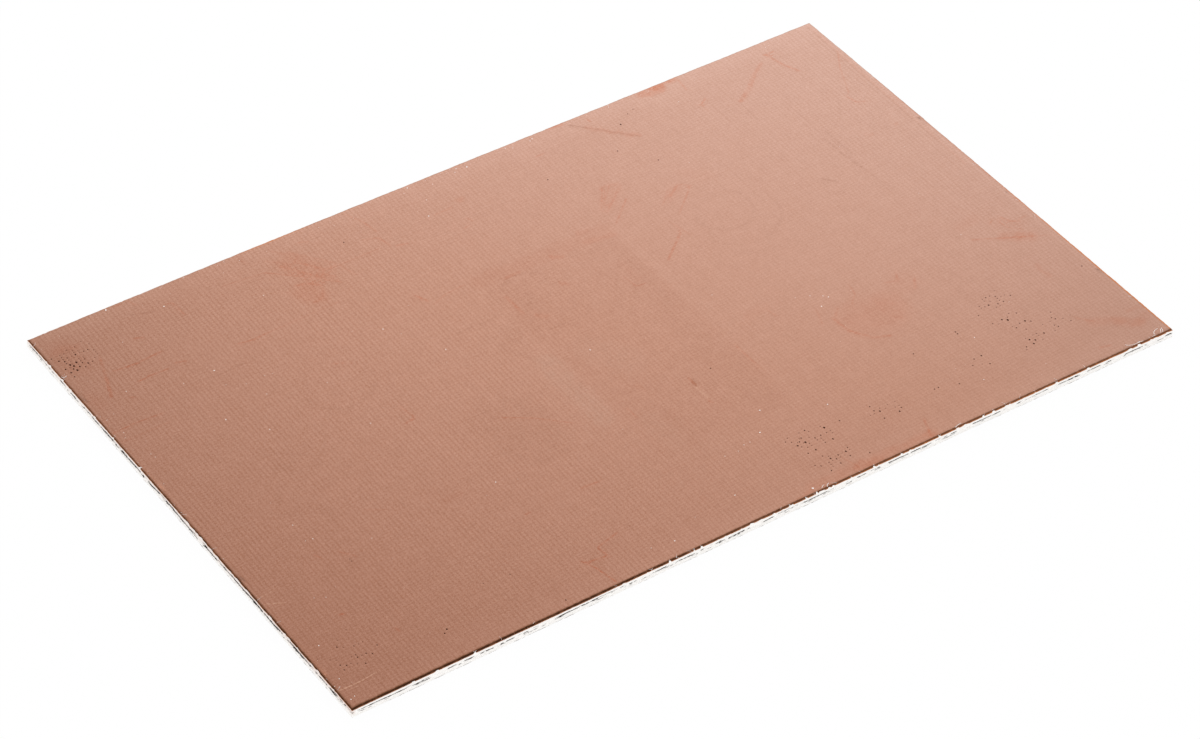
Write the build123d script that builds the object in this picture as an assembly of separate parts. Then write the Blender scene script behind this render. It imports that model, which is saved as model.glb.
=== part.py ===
from build123d import *

import os
from math import atan, cos, degrees, radians, sin

# Copper clad board: a guillotine-cut blank of glass-epoxy laminate with copper foil bonded to both faces.
#
# The blank lies flat on its underside. X runs along its length, Y across its width and Z up, with the origin at
# the middle of the underside. The guillotine blade came down from the copper face that is uppermost, so on all
# four sides the upper foil and the laminate under it are rolled down towards the cut, and the cut face leans out
# a little towards the underside, where the lower foil stays flat.

# Driving dimensions, in millimetres and degrees
board_length = 160.0
board_width = 100.0
board_thickness = 1.6  # over both foils
foil_thickness = 0.035
long_side_roll_radius = 0.42  # of the copper face where the blade rolled it down along the long sides
short_side_roll_radius = 0.26  # the same along the short sides
roll_angle = 60.0  # how far the copper face has turned down where it is cut off
cut_lean = 0.05  # how far the cut faces lean out, from the copper face to the underside

# Sizes that follow from them
lean_angle = degrees(atan(cut_lean / board_thickness))
overcut = board_thickness  # how far cutting shapes reach past the blank


def cut_blank():
    """The blank as if nothing had rolled: four plane cut faces that lean out towards the underside."""
    return extrude(Rectangle(board_length, board_width), amount=board_thickness, taper=lean_angle)


def rolled_profile(plane, span, roll_radius, depth):
    """Section of the space under a surface that lies `depth` below the copper face and rolls down with it."""
    roll_run = roll_radius * sin(radians(roll_angle))
    roll_drop = roll_radius * (1 - cos(radians(roll_angle)))
    lean_at_cut = cut_lean * (1 - roll_drop / board_thickness)
    roll_start = span / 2 - lean_at_cut - roll_run
    with BuildSketch(plane) as profile:
        with BuildLine():
            flat = Line((0, board_thickness - depth), (roll_start, board_thickness - depth))
            roll = CenterArc((roll_start, board_thickness - roll_radius), roll_radius - depth, 90, -roll_angle)
            run_out = PolarLine(roll @ 1, overcut, direction=roll % 1)
            Polyline(run_out @ 1, ((run_out @ 1).X, -overcut), (0, -overcut), flat @ 0)
        make_face()
        mirror(about=Plane.YZ)
    return profile.sketch


def space_under(depth):
    """The space under such a surface over the whole blank, with the rolls of the four sides mitred at the corners."""
    lengthwise = rolled_profile(Plane.XZ, board_length, short_side_roll_radius, depth)
    crosswise = rolled_profile(Plane.YZ, board_width, long_side_roll_radius, depth)
    return extrude(lengthwise, board_width, both=True) & extrude(crosswise, board_length, both=True)


def lower_slab():
    """Everything in the blank below the top of the lower foil."""
    return extrude(Rectangle(board_length, board_width), amount=foil_thickness)


def copper_foil_top():
    return cut_blank() & (space_under(0) - space_under(foil_thickness))


def glass_epoxy_core():
    return (cut_blank() & space_under(foil_thickness)) - lower_slab()


def copper_foil_bottom():
    return cut_blank() & lower_slab()


os.makedirs("parts", exist_ok=True)
for piece in (copper_foil_top, glass_epoxy_core, copper_foil_bottom):
    export_step(piece(), f"parts/{piece.__name__}.step")
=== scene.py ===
import math
import random

import bmesh
import bpy
import numpy as np
from mathutils import Matrix, Vector


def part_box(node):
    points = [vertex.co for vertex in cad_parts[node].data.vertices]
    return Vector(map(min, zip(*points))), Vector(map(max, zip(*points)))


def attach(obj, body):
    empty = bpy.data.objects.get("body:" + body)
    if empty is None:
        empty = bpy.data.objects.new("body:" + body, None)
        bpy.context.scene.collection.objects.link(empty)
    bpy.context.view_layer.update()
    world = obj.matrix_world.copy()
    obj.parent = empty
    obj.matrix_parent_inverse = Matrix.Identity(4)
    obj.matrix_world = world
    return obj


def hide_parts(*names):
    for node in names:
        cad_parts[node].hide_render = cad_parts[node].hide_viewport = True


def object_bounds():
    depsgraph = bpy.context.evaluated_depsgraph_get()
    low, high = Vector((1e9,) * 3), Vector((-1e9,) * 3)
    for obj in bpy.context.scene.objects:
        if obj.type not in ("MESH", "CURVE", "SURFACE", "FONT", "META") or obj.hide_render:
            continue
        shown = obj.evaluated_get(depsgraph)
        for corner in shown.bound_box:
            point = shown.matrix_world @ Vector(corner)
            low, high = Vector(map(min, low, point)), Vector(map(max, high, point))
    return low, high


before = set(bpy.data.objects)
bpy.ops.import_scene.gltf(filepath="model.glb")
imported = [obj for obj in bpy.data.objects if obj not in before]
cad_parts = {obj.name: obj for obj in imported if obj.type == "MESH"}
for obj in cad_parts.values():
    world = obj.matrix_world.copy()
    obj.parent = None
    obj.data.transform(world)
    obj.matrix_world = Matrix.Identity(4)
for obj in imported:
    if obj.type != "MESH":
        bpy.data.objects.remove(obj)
cad_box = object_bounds()

# Copper clad board lying flat. Sizes are in millimetres, in the frame's axes, unless a name says otherwise.
MM = 0.001

# The board, from the frame
half_length, half_width, board_top = cad_box[1] / MM
foil_thickness = (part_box("copper_foil_bottom")[1].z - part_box("copper_foil_bottom")[0].z) / MM

# The sheared rim, as the source of the part has it: long sides face -Y and +Y, short sides face -X and +X
roll_angle = math.radians(60)
long_side_roll_radius = 0.42
short_side_roll_radius = 0.26
cut_lean = 0.05
lower_edge_radius = 0.04
foil_rim_spacing = 0.19  # between the vertices along the rim of a foil
wall_spacing = 0.2  # between those along the cut side of the laminate
wall_rows = 28  # of faces down the cut side of the laminate
flat_margin = 0.35  # between the start of the roll and the woven flat
# The four sides, taken anticlockwise
FRONT, RIGHT, BACK, LEFT = range(4)
# How far the cut of each side stands out from a straight line: half way along it, at its start and at its end
cut_bows = [(-0.11, 0.0, 0.28), (0.09, 0.0, -0.10), (0.17, 0.10, -0.18), (0.0, 0.0, 0.0)]
bow_reach = 0.35  # of a side's length, over which the start or the end runs out
# Steps from the flat over the roll and back under: share of the turn, share of the foil's depth, and how much
# painted shade the rim gets there
rim_steps = (
    (0, 0, 0.4), (0.25, 0, 1.0), (0.5, 0, 1.0), (0.75, 0, 0.65), (1.0, 0, 0.0), (1.0, 1, 0.0), (0, 1, 0.0),
)
# Splits in the torn wall of the laminate: height, how far they wander up and down, and half thickness
wall_splits = ((0.93, 0.05, 0.035), (0.80, 0.07, 0.060), (0.62, 0.08, 0.040))

# The glass cloth that prints through the foil
yarn_pitch_x = 0.768  # between the yarns that run across the board
yarn_pitch_y = 0.583  # between the yarns that run along it
ply_pitch = 0.19  # between the layers of cloth
yarn_tilt = math.tan(math.radians(0.9))  # of the yarns that run across the board
yarn_rise = 0.0035  # of a yarn above the gap beside it
knuckle_rise = 0.0008  # of a yarn where it passes over another, above where it passes under
weave_crest = 0.008  # the highest that the print stands over the face
pit_stretch = 1.4  # of a pit's length along the yarns that run across the board, over its width
pit_corners = 8
pit_floor = 0.8  # of a pit's width and depth, at the edge of its floor

# Clusters of pits in the copper face: middle x and y, half extent in x and y, share of crossings pitted
pit_clusters = [
    (-76.5, 41.5, 2.6, 2.8, 0.7), (-75.5, 42, 4.2, 4.8, 0.25), (-60.5, -11, 1.6, 1.2, 0.4),
    (-62.8, -23, 1.5, 0.9, 0.4), (-73.5, -41.5, 4.4, 2, 0.25), (-72.5, -38.5, 6.5, 3, 0.1),
    (12.8, -39.2, 3, 3, 0.6), (16.2, -39, 1.8, 2.6, 0.35), (14.6, -45.2, 4, 1.8, 0.4),
    (28.2, -39.9, 3, 2.4, 0.4), (48.4, -38.9, 2.2, 2.2, 0.35), (59.4, -28.6, 4.6, 2.2, 0.4),
    (59, -33.4, 3.4, 1.6, 0.3), (60.4, -36, 2.4, 1.8, 0.3), (58.8, -40, 3.6, 2, 0.3),
    (65.5, -38, 3.4, 3, 0.2), (37.5, 47, 1.8, 1.8, 0.2), (-47, -38.5, 3.5, 1.5, 0.1),
]
# Pits that stand out, by their middle: the widest, the wide and the narrow ones
black_pits = [
    (-77.3, 40.6), (-75.8, 40.6), (-76.6, 40), (-76.6, 38.8), (12.4, -39.3), (17, -38.1), (58.3, -33.6),
]
wide_pits = [
    (57.6, -33), (60.7, -35.4), (61.5, -39.5), (58.4, -39.5), (59.2, -40.1), (58.4, -40.6), (58.2, -28.9),
    (49.1, -38.3), (12.5, -41.7), (16.3, -41.1), (16.3, -44.6), (13.3, -44.6), (27, -40), (29.3, -41.7),
    (-78.2, 42.3), (-77.4, 41.7), (-74.3, 39.4), (-75.8, 39.3), (-78.1, 40), (-77.3, 39.4), (-78, 38.8),
    (-75.2, 42.3), (34.4, 43.8), (-59, -43.4), (10.9, -39.3),
]
narrow_pits = [
    (58.8, -27.2), (60.7, -29.5), (62.6, -28.9), (60.6, -33), (58.4, -35.9), (56.8, -40.6), (64.5, -39.5),
    (65.3, -37.7), (47.5, -38.3), (49.2, -40.6), (59.6, -29.5), (61.4, -36), (13.9, -37), (15.5, -39.3),
    (12.4, -38.2), (11.6, -38.8), (10.9, -41.7), (20.1, -38.2), (16.4, -45.8), (14.8, -44.6), (14.1, -45.1),
    (14.1, -46.3), (11, -45.2), (11.8, -46.9), (19.4, -47), (26.1, -38.1), (30.1, -41.1), (26.3, -41.7),
    (26.1, -39.3), (14, -39.3), (-75.1, 40), (-76.7, 42.3), (-78, 37.7), (-79, 43.2), (-59.6, -44.2),
    (-74.9, -37.7), (-69.5, -40.8), (-71.8, -41.3), (-73.3, -41.2), (-71, -41.9), (-75.6, -41.9),
    (-72.9, -43.1), (-76.4, -41.3), (-76.5, -42.2), (29.7, 38.1), (15, 38.4), (-40, -48.3), (49.2, -31.4),
    (49.1, -31.9), (10.1, -16.4), (41.7, -41.8), (37.6, -40.7), (38.3, -40.3), (39.9, -32), (34.3, 32.5),
    (77.8, -29.2), (-23.5, 42.6),
]

# Stains: from x, y to x, y, half width and strength. A line is thin, a blot is broad.
red_lines = [
    # Streaks of the smear near the back edge
    (-38.5, 43.2, -33.8, 39, 0.26, 0.38), (-33.8, 39, -29.2, 34.5, 0.3, 0.38),
    (-35.6, 43.2, -32.9, 39.6, 0.42, 0.28), (-32.8, 39.4, -31, 36.8, 0.44, 0.34),
    (-33, 43, -31, 40.4, 0.44, 0.28), (-31, 40.2, -29.6, 38.6, 0.44, 0.4),
    (-29.5, 38.5, -27.8, 38.3, 0.3, 0.36), (-31.2, 38.6, -29, 35.8, 0.28, 0.26),
    (-37, 45.8, -33.6, 42.6, 0.3, 0.18), (-34.8, 47.4, -31.4, 43.2, 0.34, 0.18),
    (-32.6, 45.8, -27.2, 38.9, 0.36, 0.17), (-27.2, 38.8, -26.2, 35, 0.3, 0.24),
    (-36, 37.6, -33.9, 37.1, 0.42, 0.26), (-33.8, 37, -32.2, 35.2, 0.44, 0.36),
    (-32.2, 35, -33.6, 32.8, 0.44, 0.18), (-33.6, 32.6, -35.8, 32.3, 0.42, 0.2),
    (-27.6, 38.3, -19.4, 38.3, 0.22, 0.25), (-46, 44.1, -38.6, 43.3, 0.22, 0.25),
    # Marks left and right of it
    (-56.4, 45.2, -55.4, 44.9, 0.25, 0.4), (-55.4, 44.9, -55.2, 41.4, 0.26, 0.4),
    (-19.3, 49.2, -17.8, 46, 0.24, 0.28), (-17.8, 46, -17.2, 42.4, 0.28, 0.4),
    (-17.7, 40.3, -17.2, 38.1, 0.32, 0.4), (-16.2, 37.3, -14.4, 36.8, 0.3, 0.45),
    (-20.2, 41.7, -17.8, 40.8, 0.26, 0.25), (-29.8, 46.9, -28.3, 46.3, 0.28, 0.35),
    (-61.3, 49.4, -60.8, 47.8, 0.3, 0.4), (-63.9, 49.3, -62.9, 49.2, 0.26, 0.5),
    (-65.2, 40.6, -63.8, 40, 0.3, 0.5), (-40.3, 48.6, -40.1, 47.3, 0.4, 0.25),
    # Lines in the left part
    (-71.9, 35.4, -69.8, 35.2, 0.26, 0.4), (-69.7, 35.1, -67.6, 35, 0.32, 0.65),
    (-66.9, 35.1, -63.1, 35.4, 0.3, 0.6), (-69.9, 31, -68.5, 31.1, 0.28, 0.65),
    (-67.8, 31.3, -66.4, 31.2, 0.28, 0.65), (-65.8, 31.2, -64.3, 31.1, 0.26, 0.6),
    (-62.4, 31.7, -60.9, 31.2, 0.28, 0.55), (-51.4, 30.2, -48.6, 29.7, 0.28, 0.55),
    (-48.6, 29.8, -45.6, 30, 0.28, 0.55), (-45.6, 30, -32, 30.3, 0.2, 0.18),
    (-79.3, 22.4, -76, 22.6, 0.28, 0.58), (-76, 22.7, -70.5, 22.3, 0.24, 0.45),
    (-79.3, 19.8, -70.5, 19.9, 0.24, 0.22), (-72.2, 39.4, -73.8, 34.6, 0.38, 0.42),
    (-73.8, 34.6, -75.3, 30.2, 0.46, 0.62), (-72.8, 28.4, -72, 27.9, 0.26, 0.4),
    (-41.2, 17.6, -38.6, 16.4, 0.2, 0.32), (-37.6, 3.2, -37, -0.4, 0.28, 0.32),
    (-37.2, -0.6, -38.9, -0.9, 0.34, 0.5), (-20.7, 24.8, -19.7, 22.6, 0.36, 0.5),
    (-18.9, 21.3, -16.4, 22.3, 0.22, 0.28), (-16.4, 22.3, -12.3, 22.7, 0.2, 0.24),
    # Round the middle
    (-8.2, 16.2, -8.1, 11.3, 0.42, 0.36), (11.2, 10.2, 11.7, 6.8, 0.22, 0.32),
    (11.5, 6.8, 13.2, 6.7, 0.22, 0.32), (-7.1, -17.2, -7, -19.6, 0.28, 0.35),
    (16.7, -14.2, 16.8, -20.8, 0.3, 0.28), (5.5, -17, 5.5, -18.5, 0.34, 0.6),
    (5.1, -23, 5.3, -23.4, 0.3, 0.6), (-6.4, 40.7, -3, 40.8, 0.26, 0.26), (-4, 35, -3.2, 35.2, 0.24, 0.4),
    (-2.4, 37, -2, 36, 0.24, 0.35),
    # Three short smears right of the middle, each with its streak
    (18.6, 25.5, 24.5, 30.1, 0.36, 0.27), (18, 26.4, 21.6, 31.4, 0.26, 0.34),
    (19.4, 27.6, 23, 31.2, 0.2, 0.24), (21.4, 31.6, 24.6, 31, 0.24, 0.24),
    (18.2, 22.2, 23.3, 26.6, 0.26, 0.42), (27.8, 22, 30.4, 24.4, 0.24, 0.26),
    (30.2, 23.2, 32.8, 25, 0.34, 0.38), (33.5, 24.8, 34.8, 23.6, 0.24, 0.24),
    (28.9, 18.7, 34.6, 23.6, 0.26, 0.34), (20.1, 9.6, 26.1, 14.4, 0.34, 0.46),
    (26.2, 16.8, 27, 13, 0.22, 0.22),
    # Rim of the fingerprint and the marks round it
    (34.3, -17.6, 34.6, -21.6, 0.4, 0.42), (34.6, -21.4, 37, -25, 0.4, 0.46),
    (36.8, -24.8, 39.8, -26.1, 0.4, 0.4), (34.4, -17.8, 36.4, -15.9, 0.3, 0.28),
    (46.8, -14.9, 49.3, -15.6, 0.26, 0.22), (49.2, -15.6, 50.3, -13.8, 0.3, 0.3),
    (51.9, -16.7, 50.6, -18.6, 0.34, 0.3), (41.6, -12.4, 41.2, -14.4, 0.22, 0.34),
    (41.2, -14.4, 39.2, -16.2, 0.22, 0.34), (32, -17.6, 33.3, -14.2, 0.22, 0.26),
    (26.4, -9.6, 26.7, -11.8, 0.24, 0.22),
    # Back right
    (50.1, 48.9, 49.7, 46, 0.3, 0.34), (49.2, 40.9, 50.9, 41.9, 0.28, 0.6),
    (49.2, 40.9, 49.4, 39.2, 0.2, 0.26), (17, 44.5, 18.2, 44.5, 0.26, 0.38),
    (30.2, 48.2, 30.3, 47.6, 0.3, 0.55), (55.7, 37.9, 59.4, 40.3, 0.62, 0.4),
    (59.3, 40.2, 62.6, 43.1, 0.62, 0.42), (62.5, 43, 65.4, 44.9, 0.5, 0.36),
    (67.2, 46.6, 69.2, 46.5, 0.24, 0.5), (67.6, 46.2, 68.5, 42.2, 0.34, 0.52),
    (68.5, 42.3, 69.7, 39.7, 0.34, 0.55), (79, 40.4, 76.4, 36.2, 0.24, 0.36),
    (76.4, 36.2, 73.4, 29.8, 0.22, 0.3), (72.4, 29, 72.9, 26.8, 0.26, 0.55),
    (72.9, 26.8, 74.3, 26.2, 0.24, 0.45), (79, 49, 78.5, 20, 0.24, 0.26), (78.5, 20, 78.3, 3, 0.2, 0.18),
    # Right
    (66.4, -14, 70.6, -16.2, 0.3, 0.36), (70.6, -16.2, 74.6, -18.3, 0.34, 0.4),
    (74.6, -18.3, 78.4, -20.2, 0.26, 0.24), (71.6, -12.3, 72.6, -11.7, 0.2, 0.36),
    (73.2, -12.4, 73.6, -14.8, 0.24, 0.38), (73.6, -14.8, 75.6, -16.6, 0.2, 0.32),
    (74.2, -11.8, 75, -13.6, 0.24, 0.48), (75, -13.6, 76.3, -14.5, 0.24, 0.44),
    (76.6, -14, 78, -13.9, 0.2, 0.36), (68.3, -39.2, 70.2, -41.6, 0.34, 0.34),
    (66.8, -47.2, 68.6, -47.7, 0.34, 0.4),
    # Along the front edge
    (15, -45.4, 15.9, -48.4, 0.24, 0.26), (31.6, -45.4, 30.2, -48.9, 0.34, 0.42),
    (-31.4, -48.9, -32.3, -44.4, 0.26, 0.75), (-32.3, -44.6, -33.4, -42.3, 0.26, 0.65),
    (-32.9, -43, -29.2, -43.5, 0.26, 0.65), (-29.1, -43.6, -29.5, -41.2, 0.26, 0.65),
    (-29.5, -41.2, -25, -40.1, 0.28, 0.45),
    # Front left
    (-25.1, -8.2, -21, -11, 0.22, 0.48), (-21, -11, -16.6, -15.2, 0.22, 0.4),
    (-63.6, -20.2, -61.9, -22.4, 0.24, 0.42), (-67.2, -18.8, -66.6, -20, 0.24, 0.36),
    (-55.4, -14.2, -52.4, -16.2, 0.2, 0.22), (-34.5, -28.9, -34, -28.9, 0.26, 0.6),
    (-24, -28.7, -20.6, -28.9, 0.28, 0.45), (-70.8, -31.9, -70.2, -32.1, 0.28, 0.8),
    (-65.2, -39.1, -65.1, -39.9, 0.24, 0.4),
]
dark_lines = [
    (26.6, 48.7, 28.8, 46.3, 0.3, 0.55), (28.8, 46.3, 32, 42.9, 0.28, 0.44),
    (32, 42.9, 35, 39.7, 0.28, 0.36), (-63, 46, -59, 44.7, 0.24, 0.3),
    (-27.2, 46.3, -22.8, 46.4, 0.22, 0.26), (-61.5, 25.8, -57.8, 25.4, 0.22, 0.3),
    (-57.8, 25.4, -53.3, 25.6, 0.22, 0.28), (-20.2, 13, -11, 12.9, 0.24, 0.24), (-5, 15, -5, 14, 0.26, 0.35),
    (-8, 18.6, -5.4, 20.2, 0.26, 0.18), (-3, 20, 0.2, 18.6, 0.26, 0.16), (-7, 5.6, 0.5, 5.4, 0.26, 0.16),
    (41.2, 38.2, 41.5, 35.2, 0.28, 0.26), (55.5, 37.2, 55.2, 32.4, 0.26, 0.22),
    (61.8, 22, 62, 16, 0.34, 0.34), (62, 16, 62.6, 11, 0.34, 0.34), (62.6, 11, 63.3, 5, 0.2, 0.22),
    (63.3, 23.2, 63.4, 15.5, 0.2, 0.3), (62.4, 30, 62, 22.6, 0.2, 0.14), (54.9, 12.9, 56.3, 11.2, 0.3, 0.34),
    (18.2, 3.4, 19.8, 1.8, 0.24, 0.22), (20.7, 37.5, 20, 35.3, 0.26, 0.22),
    (-49.6, -16.2, -49.4, -16.9, 0.3, 0.36), (-30, -5.5, -26, -5.6, 0.22, 0.3),
    (78.6, 49, 78.2, 10, 0.24, 0.22),
]
light_lines = [
    (-79.7, -45.5, -77.5, -45.6, 0.16, 1), (-77.5, -45.6, -75.4, -45.6, 0.15, 0.85),
    (-75.4, -45.6, -73.9, -45.4, 0.15, 0.9), (-73.9, -45.4, -72.2, -45.2, 0.15, 0.75),
    (-79.2, -23.8, -76.6, -25.1, 0.22, 0.55), (-79.2, -22.1, -76.2, -21.9, 0.18, 0.3),
    (5.3, -19, 5.4, -22.2, 0.28, 0.45), (-33, 31.6, -31.2, 30.4, 0.22, 0.22),
    (-58.5, -43.2, -45, -42.2, 0.22, 0.14),
]
# Faint rings that cups left: middle x and y, radius, from and to what angle, half width and strength
cup_rings = [
    (-43.2, 13.8, 6.6, 170, 375, 0.55, 0.12), (-43.2, 14.4, 4.6, 10, 200, 0.5, 0.06),
    (35.6, 15.4, 5.4, 150, 420, 0.55, 0.12), (36.4, 13.6, 8.2, 190, 380, 0.6, 0.11),
    (37, 13, 10.4, 215, 330, 0.6, 0.06), (-4.2, 15.6, 4.4, 20, 160, 0.3, 0.14),
]
red_blots = [
    (-34, 43, -31, 38.4, 3.8, 0.24), (-35.2, 35.6, -34.6, 33.8, 3.4, 0.34),
    (-76.8, 44.5, -76, 39.5, 3.4, 0.17), (-77.5, 44.6, -74, 44, 1.2, 0.25),
    (-78.4, 32, -77.6, 29, 1.6, 0.14), (-10, 22, 16, 21.6, 2.2, 0.1), (-5.4, 20.5, -3, 20.4, 0.7, 0.42),
    (4.2, 20.5, 5.3, 20, 0.7, 0.42), (11.4, 23.5, 12.6, 23.4, 0.7, 0.26), (11, 20.8, 16.3, 20, 0.7, 0.26),
    (-6.6, 9.4, -5.2, 8.6, 0.6, 0.32), (1.7, 14.2, 2.3, 13.8, 0.6, 0.42), (13, 13.2, 12.6, 8, 0.8, 0.1),
    (-3.2, -13.2, -2.6, -14.6, 0.8, 0.12), (20, 27.2, 23, 30.4, 2.1, 0.15),
    (29.6, 22.8, 32.4, 24.4, 1.3, 0.16), (36, 27, 38.5, 24.5, 2, 0.08), (38.4, -20, 43, -20.8, 5.8, 0.25),
    (44, -18.6, 50.5, -16.6, 3.2, 0.11), (71.5, -16.4, 75.6, -18.6, 1.7, 0.3),
    (73.5, -17.4, 75.5, -18.4, 0.9, 0.25), (72.5, -12.6, 75.5, -14.6, 2.2, 0.1),
    (43, -22.4, 43.9, -23.4, 0.8, 0.14), (22.8, -9.5, 26.4, -9, 1.4, 0.1), (42.6, 49, 46, 48.7, 1.5, 0.75),
    (45, 49.4, 49.6, 49.6, 1.1, 0.8), (23, 49.8, 25.8, 49.8, 0.4, 0.9), (66.5, -10.4, 70.5, -9.6, 1.5, 0.14),
    (71.2, -25, 71.3, -28.6, 0.7, 0.24), (69.8, -41.8, 74.2, -43.7, 1.5, 0.26),
    (73.8, -43.4, 76.4, -45.9, 1.7, 0.3), (75.8, -45.5, 78.8, -45.2, 1.3, 0.26),
    (76.5, -42.4, 79.6, -43.4, 0.6, 0.3), (2.5, -49.2, 6, -49.2, 0.4, 0.4), (7, -48.9, 19, -48.6, 1.9, 0.3),
    (16, -48.8, 30.6, -49, 1.5, 0.36), (29.6, -48.4, 30.6, -49.3, 0.9, 0.25),
    (79.9, 30, 79.9, -10, 0.5, 0.3), (79.9, 0, 79.9, -49, 0.5, 0.25), (74.8, 18.3, 75.3, 18.2, 0.5, 0.45),
    (28.8, 46.3, 35.2, 39.5, 0.6, 0.4), (69, 18.3, 69.5, 18.2, 0.4, 0.3),
    (-11.7, -1, -11.7, -16.8, 2.9, -0.21), (-3.5, -2.5, -0.5, -7.5, 4.6, -0.11),
    (-5.6, -21.5, -5.2, -28, 2.9, -0.1), (-1, 41.6, -0.2, 41.9, 0.6, 0.34),
    (-43.5, -19.3, -40.6, -19.2, 0.9, 0.16), (-9.6, -41, -8.8, -41.2, 0.5, 0.22),
]
dark_blots = [
    (-77.2, 43.6, -75.8, 40, 3, 0.18), (-15.6, 6, -13.6, 2.6, 1.6, 0.1), (-6.6, 12.9, -6, 12.6, 0.4, 0.6),
    (5.5, -17.4, 5.5, -18.3, 0.5, 0.8), (-2.2, -20.5, -2, -30, 1.3, 0.12), (13, 17, 13, -27, 4, 0.07),
    (-6, 17, -6, 7.5, 3.4, 0.09), (-60.9, -10.8, -60, -11.3, 1.5, 0.12),
    (-63.2, -22.9, -62.2, -23.1, 1.4, 0.12), (-24.6, -9, -24.2, -14.5, 8.2, 0.18),
    (-14.6, 12.2, -12.6, 6, 1.9, 0.06), (-13.2, 7, -10.4, 9.6, 2.4, 0.07),
    (-15.2, 4.6, -10.4, 9.6, 2.2, 0.07), (-62, 3.5, -57, 1, 4.5, 0.07),
    (-43.5, -19.3, -40.6, -19.2, 1, 0.16), (39.8, -17, 42.6, -23, 2.4, 0.06),
    (-29.5, -15, -26.5, -20, 0.7, 0.12), (-26.5, -20, -20.5, -20.2, 0.7, 0.14),
    (-40.3, 48.6, -40.1, 47.2, 0.6, 0.2), (-62, 0.6, -60.5, 0.2, 1.6, 0.16),
    (36.8, 47.4, 37.2, 45.6, 0.9, 0.16), (64, -34, 56, -33.5, 3, 0.05), (-79.4, 44, -79.4, 33, 0.7, 0.16),
]
light_blots = [
    (17.9, 12, 18, -30, 0.9, 0.03), (42.5, 46.6, 48.5, 45, 3, 0.05), (-76, 48.8, -57, 48.9, 2.2, 0.12),
]
# A label that once lay on the copper left its outline: its left side at the top and at the bottom, its right
# side, its top and its bottom
label_left, label_left_below, label_right, label_high, label_low = -10.3, -8.9, 16.6, 24.0, -30.3

# White specks of glass on the copper: x, y and width
specks = [
    (-65.5, 49.3, 0.34), (-57, 44.9, 0.34), (-67.2, 40.8, 0.18), (-41.8, 38.4, 0.18), (-58.2, 26.7, 0.26),
    (-64, 26.6, 0.17), (-62.7, 15.5, 0.28), (-58, 9.7, 0.22), (-55.5, 21.1, 0.16), (-52, 21.2, 0.15),
    (-54, 17.2, 0.18), (-29.7, 20.5, 0.24), (-23.8, 10.7, 0.3), (-43.7, 2.2, 0.26), (-7.5, 41, 0.32),
    (-6.5, 49.3, 0.3), (-5.5, 44.8, 0.2), (-72.7, 30, 0.2), (5.2, 48.6, 0.36), (3.4, 49.2, 0.24),
    (2.7, 48.5, 0.18), (13.6, 49.3, 0.24), (14.8, 48.7, 0.18), (19, 49, 0.3), (18.4, 48.7, 0.2),
    (46.5, 43.8, 0.18), (66.5, 0.8, 0.16), (-4, -2.2, 0.28), (-66.5, -11.2, 0.2), (-66.7, -15.3, 0.16),
    (-65.5, -15.5, 0.2), (-34.5, -20.2, 0.24), (-18.5, -46.5, 0.26), (-4.5, -43.2, 0.24), (-77, -35.8, 0.24),
    (-72.2, -26.7, 0.16), (-0.5, -35, 0.22), (10.6, -29.2, 0.3), (7.5, -33.5, 0.34), (20.7, -34, 0.3),
    (2, -35.2, 0.2), (3.6, -34.5, 0.18), (4.8, -34.5, 0.16), (34.5, -14, 0.28), (36.9, -12.7, 0.26),
    (36.3, -12, 0.22), (34.5, -10.8, 0.16), (45.8, -43, 0.22), (61.5, -30, 0.18), (51, -34, 0.2),
    (-78.9, -48, 0.26), (-78.1, -47.7, 0.22), (-78.1, -43.4, 0.22), (6.8, -48.6, 0.42), (-22.5, -45.8, 0.2),
]
# Nicks of the rim: side (0 front, 3 left), place along it, half width, how far the foil is torn back
rim_nicks = [
    (0, -58, 0.2, 0.1), (0, -21.7, 0.24, 0.18), (0, -17.1, 0.2, 0.1), (0, -15.7, 0.22, 0.16),
    (0, 1.4, 0.24, 0.1), (0, 4.7, 0.24, 0.12), (0, 6.8, 0.22, 0.22), (0, 9.2, 0.4, 0.08),
    (0, 18.1, 0.24, 0.16), (0, 23.7, 0.22, 0.06), (0, 31.4, 0.28, 0.1), (0, 35, 0.4, 0.07),
    (0, 40.3, 0.3, 0.14), (0, 42.4, 0.3, 0.08), (0, 45.7, 0.4, 0.06), (0, 51, 0.3, 0.05),
    (0, 55.5, 0.36, 0.06), (0, 72.9, 0.4, 0.16), (0, 75.6, 0.4, 0.06), (3, 42.2, 0.3, 0.08),
    (3, 38.1, 0.34, 0.09), (3, 21.6, 0.3, 0.12), (3, 13.2, 0.34, 0.12), (3, 27.5, 0.24, 0.06),
]
# Loose fibres of glass: places that each one passes, near the front right corner and along the front edge
fibres = [
    [(77.7, -49.9), (77.9, -49.6), (78.1, -49.3), (78.3, -49)],
    [(78, -49.9), (78.3, -49.6), (78.5, -49.2), (78.6, -48.8)],
    [(76.5, -49.6), (76.8, -49.1), (77.3, -48.8), (78, -48.7)],
    [(70.7, -48.9), (71.1, -49.3), (71.8, -49.6), (72.6, -49.7), (73.4, -49.6)],
    [(73, -49.7), (73.9, -49.75), (74.6, -49.9), (75.4, -49.85)],
    [(75.6, -49.8), (76.4, -49.75), (77.2, -49.85)], [(8, -49.4), (8.3, -49.1), (8.8, -48.9)],
    [(8.9, -49.6), (9.2, -49.2), (9.7, -49)], [(34.6, -49.7), (35.3, -49.4), (36.1, -49.3)],
    [(-79.8, 38.6), (-79.3, 38.3), (-78.9, 38.5)],
]


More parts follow.
